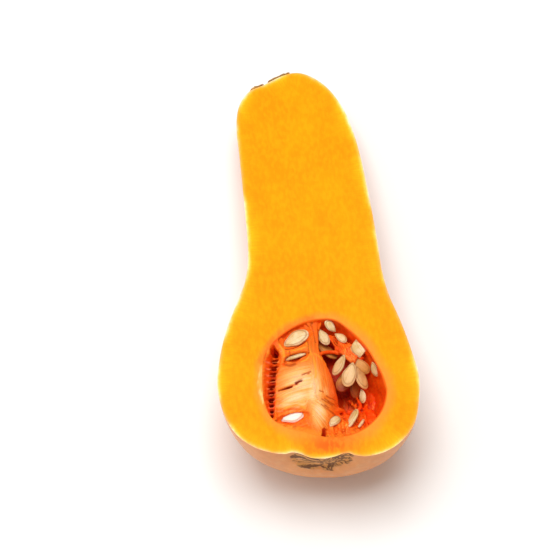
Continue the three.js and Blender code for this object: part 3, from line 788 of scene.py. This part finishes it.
def band(co, points, half_width, power=2, steps=40):
    """A soft band along a path, seen from above."""
    return np.exp(-((near_path(co, points, steps) / half_width) ** power))


def patch(co, middle, half):
    """A soft oval patch, seen from above."""
    return np.exp(-(((co[:, 0] - middle[0]) / half[0]) ** 2 + ((co[:, 1] - middle[1]) / half[1]) ** 2))


def ring_width(co):
    """How wide the tinged ring round the cavity is: widest under it, towards the blossom end."""
    return 5.5 + 4.5 * smooth(-co[:, 1], -24, -6) + 1.5 * smooth(co[:, 0], 5, 30)


def squash_half():
    half = whole_fruit()
    for cutter in (knife(), bowl()):
        finish_with(half, "BOOLEAN", operation="DIFFERENCE", solver="EXACT", object=cutter,
                    material_mode="TRANSFER")
        drop(cutter)
    co = places(half)
    x, y, z = co.T
    on_cut = np.abs(z) < 1e-3
    edge, along = nearest(outline(), co)
    rim, _ = nearest(closed_curve(CAVITY_RIM, np.linspace(0, 1, 3000)), co)
    sharp = np.maximum(smooth(x, 2, 16), smooth(y, 56, 68))
    under = np.exp(-(((x - 3) / 15) ** 2 + ((y - 8) / 7) ** 2)) * smooth(y, 0.6, 5)
    beside = 0.6 * band(co, FLUSHED_RIM, 2.4)
    waver = 1 + 0.5 * grain_noise(co * (0.1, 0.35, 1), 1.0)
    waver *= 0.3 + 0.7 * np.sin(math.pi * np.clip((y - 33) / 26, 0, 1)) ** 0.7
    strip = np.exp(-((near_path(co, MEMBRANE) / MEMBRANE_HALF / waver) ** 4)) * on_cut
    note_down(
        half,
        edge_mm=np.where(on_cut, edge, 0),
        rim_mm=np.where(on_cut, rim / ring_width(co), 0),
        ring=np.column_stack((along * 1.3, edge * 0.09, np.zeros(len(co)))),
        lip=0.25 + 0.75 * sharp,
        blush=np.where(on_cut, np.maximum(under, beside), 0),
        membrane=strip,
        deep_mm=-z,
        button_mm=np.linalg.norm(co - (-2, 1, -2), axis=1),
    )
    co[:, 2] -= np.where(on_cut, 0.55 * np.clip(1 - rim / 1.3, 0, 1) ** 2 * (0.3 + 0.7 * sharp), 0)
    co[:, 2] += 0.16 * strip * (0.6 + 0.4 * grain_noise(co * (1.4, 0.2, 1), 1.0))
    put(half, co)
    return half


def press_on_table(piece):
    """The skin is flat where it bears on the table."""
    co = places(piece)
    co[:, 2] = np.maximum(co[:, 2], 0)
    put(piece, co)


# ---- Pulp ----
def copy_of(node, name):
    """A merged copy of a CAD node, back in the fruit's own frame."""
    piece = linked(name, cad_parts[node].data.copy())
    piece.data.transform(LAY.inverted())
    piece.data.materials.clear()
    edit(piece, lambda: bpy.ops.mesh.remove_doubles(threshold=0.002))
    return only(piece)


def strings(name, paths, sides=1):
    """Round threads joined in one mesh. Each path is a list of points, each (x, y, z, radius)."""
    data = bpy.data.curves.new(name, "CURVE")
    data.dimensions = "3D"
    data.bevel_depth = 1
    data.bevel_resolution = sides
    data.use_fill_caps = True
    for path in paths:
        spline = data.splines.new("POLY")
        spline.points.add(len(path) - 1)
        for point, (x, y, z, radius) in zip(spline.points, path):
            point.co = (x, y, z, 1)
            point.radius = radius
    only(linked(name, data))
    bpy.ops.object.convert(target="MESH")
    return made(name)


def cord_path(points, radius, steps=16, lumps=0.25, seed=0):
    """A cord through points, thicker at its ends, with a lumpy girth."""
    t = np.linspace(0, 1, steps)
    path = open_curve(points, t)
    path += 0.35 * np.array([noise.noise_vector(Vector(p) * 0.35 + Vector((seed, 0, 0))) for p in path])
    girth = radius * (1 + 0.7 * (2 * t - 1) ** 4) * (1 + lumps * np.sin(t * 9 + seed))
    return np.column_stack((path, girth))


def pit_places(along):
    """Where on the cut face the row of holes is, at places along the fruit."""
    low, high = PIT_LINE[0][1], PIT_LINE[-1][1]
    return open_curve(PIT_LINE, (np.asarray(along, float) - low) / (high - low))


def web_block():
    """The tissue of the left gap: a wall that slopes down to a row of deep holes beside the core."""
    block, share = sheet("web", 44, 200)
    along = GAP_FROM + share[:, 1] * (GAP_TO - GAP_FROM)
    pit_x = pit_places(along)[:, 0]
    rim = closed_curve(CAVITY_RIM, np.linspace(0.36, 0.75, 400))[::-1]
    rim_x = np.interp(along, rim[:, 1], rim[:, 0])
    x = rim_x - WEB_INTO_RIM + (pit_x + WEB_PAST_PITS - rim_x + WEB_INTO_RIM) * share[:, 0]
    from_pit = x - pit_x
    depth = 1.4 + 3.2 * smooth(along, 27, 40)
    z = -0.8 - depth * smooth(x, rim_x - 0.5, pit_x - 0.6) + 2.6 * smooth(from_pit, 0.7, 2.0)
    z += 0.35 * grain_noise(np.column_stack((x * 0.25, along * 1.3, 0 * x)), 1.0)
    chance = random.Random(4)
    for middle in PITS:
        size = chance.uniform(0.85, 1.12) if middle < PITS[-1] else TOP_PIT_SIZE
        room = pit_places([middle])[0][0] - np.interp(middle, rim[:, 1], rim[:, 0])
        across = min(chance.uniform(1.6, 2.0), 0.4 + 0.42 * room) * (0.66 + 0.34 * smooth(middle, 34, 50))
        far = ((from_pit + 0.1) / across / size) ** 2 + ((along - middle) / 1.3 / size) ** 2
        z -= PIT_DEPTH * np.exp(-(far**2))
    put(block, np.column_stack((x, along, z)))
    return thicken(block, -WEB_THICKNESS)


def slung(chance, ends, count, thin, thick):
    """Loose cords, each between two of the ends."""
    paths = []
    for _ in range(count):
        a, b = chance.sample(ends, 2)
        loose = [chance.uniform(-1.3, 1.3) for _ in range(6)]
        middle = [(a[i] + b[i]) / 2 + loose[i] for i in range(3)]
        middle[2] -= 0.6
        end = [b[i] + 0.4 * loose[i + 3] for i in range(3)]
        paths.append(cord_path([a, middle, end], chance.uniform(thin, thick), 12, seed=loose[0]))
    return paths


def rungs():
    """Thin bridges across the left gap, one between every two holes."""
    paths = []
    for y in RUNG_PLACES:
        x = pit_places([y])[0][0]
        points = [(x + 2.8, y, -2.6), (x, y - 0.2, -3.3), (x - 3.4, y + 0.3, -3.6)]
        paths.append(cord_path(points, RUNG_GIRTH, 10, 0.1, y))
    return paths


def pulp_cords():
    """Lips, ridges, rungs and a tangle of cords that the solids leave out, fused into the pulp."""
    paths = [cord_path(points, radius, seed=i) for i, (points, radius) in enumerate(LIPS)]
    paths += rungs()
    chance = random.Random(11)
    for tangle in TANGLES:
        paths += slung(chance, *tangle)
    return strings("pulp_cords", paths)


def foot_pad():
    """The pad of tissue that the seeds at the blossom end lie on, sloping down into the hollow."""
    pad, share = sheet("pad", 60, 48)
    x, y = (low + part * (high - low) for low, high, part in zip(PAD_FROM, PAD_TO, share.T))
    slots = grain_noise(np.column_stack((x * 0.5, y * 0.16, 0 * x)), 1.0, 5.0)
    z = -3.4 - 0.34 * (y - 16) - 0.12 * np.maximum(0, y - 25) ** 1.6 + 2.6 * slots
    put(pad, np.column_stack((x, y, z)))
    return thicken(pad, -PAD_THICKNESS)


def thread_ways(x, y):
    """The direction that the threads run in on the core's top."""
    left = np.stack((np.ones_like(x), 0.3 - 0.024 * (x + 12)), 1)
    down = np.stack((0.06 * (x + 2), -np.ones_like(x)), 1)
    fan = np.stack((x + 12, y - 41), 1)
    for way in (left, down, fan):
        way /= np.linalg.norm(way, axis=1)[:, None]
    to_right = smooth(x, -3.6, -1.6)[:, None]
    to_fan = (smooth(x, -8, -4) * smooth(-y, -40, -34))[:, None]
    way = left * (1 - to_right) + down * to_right
    way = way * (1 - to_fan) + fan * to_fan
    return way / np.linalg.norm(way, axis=1)[:, None]


def along_grain(co):
    """Places as how far across and along the grain of the core's top."""
    x, y = co[:, 0], co[:, 1]
    way = thread_ways(x, y)
    return x * way[:, 1] - y * way[:, 0], x * way[:, 0] + y * way[:, 1]


def most(co, layers):
    """The strongest of several layers at each place."""
    best = np.zeros(len(co))
    for layer in layers:
        best = np.maximum(best, layer)
    return best


def rim_distance(co):
    return nearest(closed_curve(CAVITY_RIM, np.linspace(0, 1, 1500)), co)[0]


def pulp_notes(piece, rim):
    """Where the pulp is pale, flushed red, cut open and so on, with its painted shade and painted shadows,
    for its material.
    """
    co = places(piece)
    x, y, z = co.T
    facing = directions(piece)[:, 2]
    across, along = along_grain(co)
    top = smooth(z, -4.6, -2.2) * smooth(facing, 0.05, 0.55) * smooth(-x, -14, -6) * smooth(x, -25, -22.4)
    level = smooth(-rim, -3.6, -0.4) * smooth(-y, -26, -21) * smooth(z, -5, -2.5)
    # How dark each slit is painted: painted shade.
    torn = most(co, (dark * band(co, points, width, 4) for points, width, dark in SLITS))
    stroke = most(co, (band(co, points, STROKE_TINT_HALF, steps=12) for points in STROKES))
    gold = most(co, (band(co, points, width) for points, width in GOLD))
    pale = most(co, (strength * patch(co, middle, half) ** 0.8 for middle, half, strength in PALES))
    # Red flush on the core's top and walls, with red painted shadow under some seeds.
    hot = most(co, (strength * band(co, points, width) for points, width, strength in BLUSHES))
    hot = np.maximum(hot, smooth(x, 17, 23) * smooth(-z, 3, 6))
    hot = np.maximum(hot, smooth(-x, 21, 24) * smooth(-z, 0.4, 2.2) * 0.95)
    bridge = most(co, (np.exp(-(((y - middle) / 0.4) ** 2)) for middle in RUNG_PLACES))
    bridge *= smooth(-x, 18.5, 20.5) * smooth(x, -27.6, -26) * smooth(z, -4.8, -3.6)
    holes = pit_places(PITS)
    # The holes of the left gap, for dark painted shade in them.
    pits = most(co, (patch(co, hole, (1.5 + 0.7 * smooth(hole[1], 34, 50), 1.6)) for hole in holes))
    pits *= smooth(-z, 3.4, 4.8)
    tangle = np.maximum(patch(co, (14, 21), (13, 9)) ** 2, patch(co, (17.4, 65.6), (8, 6.5)) ** 2)
    tangle *= smooth(z, -13, -8)
    tangle = np.maximum(tangle, patch(co, (17, 38.5), (3.4, 5))) * smooth(x, 0, 4) * 0.9
    tangle = np.maximum(tangle, 0.5 * patch(co, (28, 37), (4.5, 8)))
    note_down(
        piece,
        level=0.9 * level,
        # In the holes the depth is set near the bottom of the colour ramp: painted shade.
        deep_mm=np.maximum(-z - 1, 19 * pits),
        tangle=np.minimum(tangle, 1),
        top=top,
        pale=pale * smooth(rim, 0.4, 4.5),
        hot=hot * (1 - torn) * (1 - pits),
        gold=0.8 * gold * smooth(z, -5, -2.5) * (1 - torn),
        bridge=0.75 * bridge,
        pit=0.85 * pits * (1 - bridge),
        stroke=stroke * smooth(z, -9, -5) * 0.9,
        torn=torn * smooth(z, -8, -4.5),
        grain=np.column_stack((across * 1.7, along * 0.15, z * 0.4)),
    )


def fuse(pulp, extras):
    """Joins the extras to the pulp and makes one even, soft mesh of it all."""
    for extra in extras:
        only(pulp)
        extra.select_set(True)
        bpy.ops.object.join()
    pulp.data.materials.clear()
    finish_with(pulp, "REMESH", mode="VOXEL", voxel_size=PULP_GRAIN)
    finish_with(pulp, "SMOOTH", factor=0.5, iterations=2)


def roughen(co, normal):
    """Ridges that run with the grain, and soft lumps, stronger further down."""
    across, along = along_grain(co)
    threads = grain_noise(np.column_stack((across * 0.9, along * 0.1, co[:, 2] * 0.25)), 1.0)
    lumps = grain_noise(co, 0.28, 3.7)
    shallow = smooth(co[:, 2], -16, -2)
    lift = 0.28 * threads * (0.3 + 0.7 * shallow) + 0.45 * lumps * (1 - 0.7 * shallow)
    co += normal * lift[:, None]


def shape_top(co, normal, rim):
    """Dishes, level edges, a soft right side, slits and strokes."""
    x, y, z = co.T
    up = smooth(normal[:, 2], 0.2, 0.6)
    for middle, half_size, depth in DISHES:
        co[:, 2] -= depth * patch(co, middle, half_size) ** 2 * smooth(z, -4.5, -2.5) * up
    # Along the blossom end, the lower left and the upper left the pulp runs out level with the flesh.
    low = smooth(-rim, -4.2, -0.7) * smooth(-y, -27, -21) * smooth(-x, -8, -3) * smooth(z, -6, -3.5) * up
    foot = smooth(-rim, -2.6, -0.7) * smooth(-y, -20, -17) * smooth(-x, -22, -12)
    foot *= smooth(z, -7, -4.5) * smooth(normal[:, 2], 0, 0.3)
    crown = smooth(-rim, -3.4, -0.7) * smooth(y, 62, 67) * smooth(-x, -3, 1) * smooth(z, -6, -3.5) * up
    co[:, 2] += np.maximum(low, np.maximum(foot, crown)) * (LEVEL_AT - z)
    co[:, 2] -= ROLL_DEPTH * np.exp(-(((x + 0.8) / 2.4) ** 2)) * smooth(y, 20, 30) * up
    for points, width, dark in SLITS:
        co[:, 2] -= SLIT_DEPTH * dark * band(co, points, width) * smooth(z, -4, -2)
    for points in STROKES:
        co[:, 2] -= STROKE_DEPTH * band(co, points, STROKE_HALF, steps=12) * smooth(z, -5, -2.5)


def grow_on(co, normal, rim, half):
    """Moves what lies close to the cavity's wall just into it, so that the pulp is grown on to the flesh."""
    wall = BVHTree.FromObject(half, bpy.context.evaluated_depsgraph_get())
    for i, (x, y, z) in enumerate(co):
        on_web = x < -19 and z > -5.5
        if on_web or (z > -1.2 and normal[i][2] > 0.8 and rim[i] > 1.6):
            continue
        at_end = z > -7 and (y < 20 or (y > 64 and x < 2))
        place = Vector((x, y, z))
        found, face, _, far = wall.find_nearest(place, GROWS_AT_ENDS if at_end else GROWS_ELSEWHERE)
        if found and far > 1e-4 and (place - found).dot(face) > 0:
            co[i] += (np.array(found) - co[i]) * (1 + 0.3 / far)


def hold_back(co):
    """Keeps all of the pulp from standing far outside the cavity's rim."""
    centre = np.array(CAVITY_CENTRE, float)
    edge = closed_curve(CAVITY_RIM, np.linspace(0, 1, 1500)) - centre
    away = co[:, :2] - centre
    reach = np.interp(np.arctan2(away[:, 1], away[:, 0]), np.arctan2(edge[:, 1], edge[:, 0]),
                      np.hypot(edge[:, 0], edge[:, 1]), period=2 * math.pi)
    pull = np.minimum(1, (reach + INTO_WALL) / np.maximum(np.hypot(away[:, 0], away[:, 1]), 1e-6))
    co[:, :2] = centre + away * pull[:, None]


def seed_pulp(half):
    pulp = copy_of("seed_pulp", "seed_pulp_fine")
    fuse(pulp, (web_block(), pulp_cords(), foot_pad()))
    co, normal = places(pulp), directions(pulp)
    roughen(co, normal)
    rim = rim_distance(co)
    shape_top(co, normal, rim)
    grow_on(co, normal, rim, half)
    hold_back(co)
    put(pulp, co)
    pulp_notes(pulp, rim_distance(co))
    pulp.data.materials.append(PULP)
    return pulp


def laid_thread(ground, chance, low, high, length, thin, thick):
    """A thread that follows the grain over the core's top until it meets a slit, a step or an edge."""
    x, y = chance.uniform(low[0], high[0]), chance.uniform(low[1], high[1])
    radius = chance.uniform(thin, thick)
    steps = int(length * chance.uniform(0.6, 1.3) / THREAD_STEP)
    lean = chance.uniform(-0.12, 0.12)
    path = []
    for _ in range(steps):
        place, up, _, _ = ground.ray_cast(Vector((x, y, 20)), Vector((0, 0, -1)))
        if place is None or up.z < 0.25 or (path and abs(place.z - path[-1][2]) > 0.9):
            break
        if any(near_path(np.array([[x, y]]), slit, 12)[0] < 1 for slit, _, _ in SLITS):
            break
        path.append([x, y, place.z, radius])
        way = thread_ways(np.array([x]), np.array([y]))[0]
        x += (way[0] - lean * way[1]) * THREAD_STEP
        y += (way[1] + lean * way[0]) * THREAD_STEP
        lean += chance.uniform(-0.05, 0.05)
    if len(path) < THREAD_SHORTEST:
        return []
    for i, point in enumerate(path):
        share = i / (len(path) - 1)
        point[3] *= 0.15 + 0.85 * math.sin(math.pi * share) ** 0.5
        point[2] -= radius * 0.35
    return path


def surface_threads(pulp):
    """Fine threads that lie on the core's top and run with its grain, and fine tangles."""
    ground = BVHTree.FromObject(pulp, bpy.context.evaluated_depsgraph_get())
    chance = random.Random(7)
    paths = []
    for low, high, count, *girth in THREAD_FIELDS:
        laid = [laid_thread(ground, chance, low, high, *girth) for _ in range(count)]
        paths += [path for path in laid if path]
    for tangle in FINE_TANGLES:
        paths += [path.tolist() for path in slung(chance, *tangle)]
    threads = strings("pulp_threads", paths, sides=0)
    pulp_notes(threads, rim_distance(places(threads)))
    threads.data.materials.append(THREAD)
    return threads


# ---- Seeds ----
def fine_seed():
    """One seed, its length along x and its flat sides facing z: a thin raised border and a shallow dish."""
    bpy.ops.mesh.primitive_uv_sphere_add(segments=56, ring_count=30, radius=1)
    seed = made("seed")
    co = places(seed)
    x, y, z = co.T
    out = np.clip(np.hypot(x, y), 0, 1)
    taper = (1 - 0.34 * smooth(x, -0.1, 1) - 0.1 * x) * (1 - 0.25 * smooth(x, 0.72, 1))
    face = 0.94 - 0.2 * np.exp(-(((out - 0.8) / 0.06) ** 2)) + 0.05 * np.exp(-(((out - 0.9) / 0.04) ** 2))
    thick = np.sqrt(np.clip(1 - out**5, 0, 1)) * face
    note_down(seed, border=np.exp(-(((out - 0.82) / 0.06) ** 2)), lengthwise=co * (1.2, 7, 1))
    put(seed, np.column_stack((x, y * taper, np.sign(np.where(np.abs(z) < 1e-6, 0, z)) * thick)))
    return seed


def seed_frame(tip, heel, faces):
    along = (Vector(tip) - Vector(heel)).normalized()
    across = Vector(faces).cross(along).normalized()
    turn = Matrix((along, across, along.cross(across))).transposed().to_4x4()
    return Matrix.Translation((Vector(tip) + Vector(heel)) / 2) @ turn


def break_off(seed):
    """Leaves only the part of a seed nearest its middle, with a straight broken edge."""
    bpy.ops.mesh.primitive_cube_add(size=1)
    left = made("broken")
    left.data.transform(Matrix.Translation((-1, 0, 0)) @ Matrix.Rotation(0.25, 4, "Z")
                        @ Matrix.Diagonal((BROKEN_LENGTH, 20, 20, 1)))
    finish_with(seed, "BOOLEAN", operation="INTERSECT", solver="EXACT", object=left)
    drop(left)


def seeds():
    """Each seed is its own, a little bowed and bent."""
    pattern = fine_seed()
    chance = random.Random(19)
    for index, (tip, heel, faces) in enumerate(SEEDS):
        size = (Vector(tip) - Vector(heel)).length / SEED_LENGTH
        half_length = 0.5 * SEED_LENGTH * size
        seed = linked(f"seed_{index + 1:02d}_fine", pattern.data.copy())
        co = places(seed)
        bow = chance.uniform(-0.25, 0.35)
        thickness = SEED_THICKNESS * (0.4 + 0.6 * size)
        co = co * (half_length, 0.5 * SEED_WIDTH * size, 0.5 * thickness)
        co[:, 2] += bow * (1 - (co[:, 0] / half_length) ** 2)
        co[:, 1] += 0.12 * size * np.sin(co[:, 0] * 0.8 + index)
        put(seed, co)
        seed.data.materials.append(COAT)
        if index == BROKEN_SEED:
            break_off(seed)
        seed.data.transform(seed_frame(tip, heel, faces))
        _, y, z = places(seed).T
        # Dark red painted shade on the seeds that lie deep or under others, growing towards the blossom end.
        soak, dry_at, wet_at = SOAKED.get(index, DRY)
        # The deeper a seed lies, the more amber its coat is made: painted shade.
        note_down(seed, soaked=soak * smooth(-y, -dry_at, -wet_at),
                  warm=np.clip(WARMTH[index] + 0.05 * (-4 - z), -1, 1))
        lay_down(seed, f"seed_{index + 1:02d}", smooth_angle=40)
    drop(pattern)


# ---- Stem crust ----
def stem_crust():
    crust = copy_of("stem_scar", "stem_scar_fine")
    finish_with(crust, "REMESH", mode="VOXEL", voxel_size=CRUST_GRAIN)
    co, normal = places(crust), directions(crust)
    rough = grain_noise(co, 0.55, 8.1) + 0.6 * grain_noise(co, 1.4, 2.2)
    put(crust, co + normal * (0.38 * rough - 0.12)[:, None])
    crust.data.materials.append(CORK)
    return lay_down(crust, "stem_scar")


# ---- Table and light ----
def table():
    bpy.ops.mesh.primitive_plane_add(size=TABLE_SIZE)
    top = made("table")
    material, n, shader = new_material("pale table", 0.7, 0.2)
    patches = n.group(MOTTLE, Vector=n.here(), Patch=3.0, Fleck=40.0)
    colour = n.blend(patches["Mask"], (0.93, 0.93, 0.93, 1), (0.94, 0.94, 0.94, 1))
    n.feed(shader.inputs["Base Color"], colour)
    top.data.materials.append(material)


def studio():
    world = bpy.data.worlds.new("studio")
    world.use_nodes = True
    sky = world.node_tree.nodes["Background"]
    sky.inputs["Color"].default_value = SKY_COLOUR
    sky.inputs["Strength"].default_value = SKY_STRENGTH
    bpy.context.scene.world = world
    for name, place, power, size in LAMPS:
        data = bpy.data.lights.new(name, "AREA")
        data.energy = power
        data.size = size
        light = linked(name, data)
        light.location = place
        light.rotation_euler = (-Vector(place)).to_track_quat("-Z", "Y").to_euler()
    bpy.context.scene.view_settings.view_transform = "Standard"


half = squash_half()
pulp = seed_pulp(half)
threads = surface_threads(pulp)
lay_down(half, "squash_half", smooth_angle=38)
press_on_table(half)
lay_down(pulp, "seed_pulp")
lay_down(threads)
seeds()
stem_crust()
table()
studio()
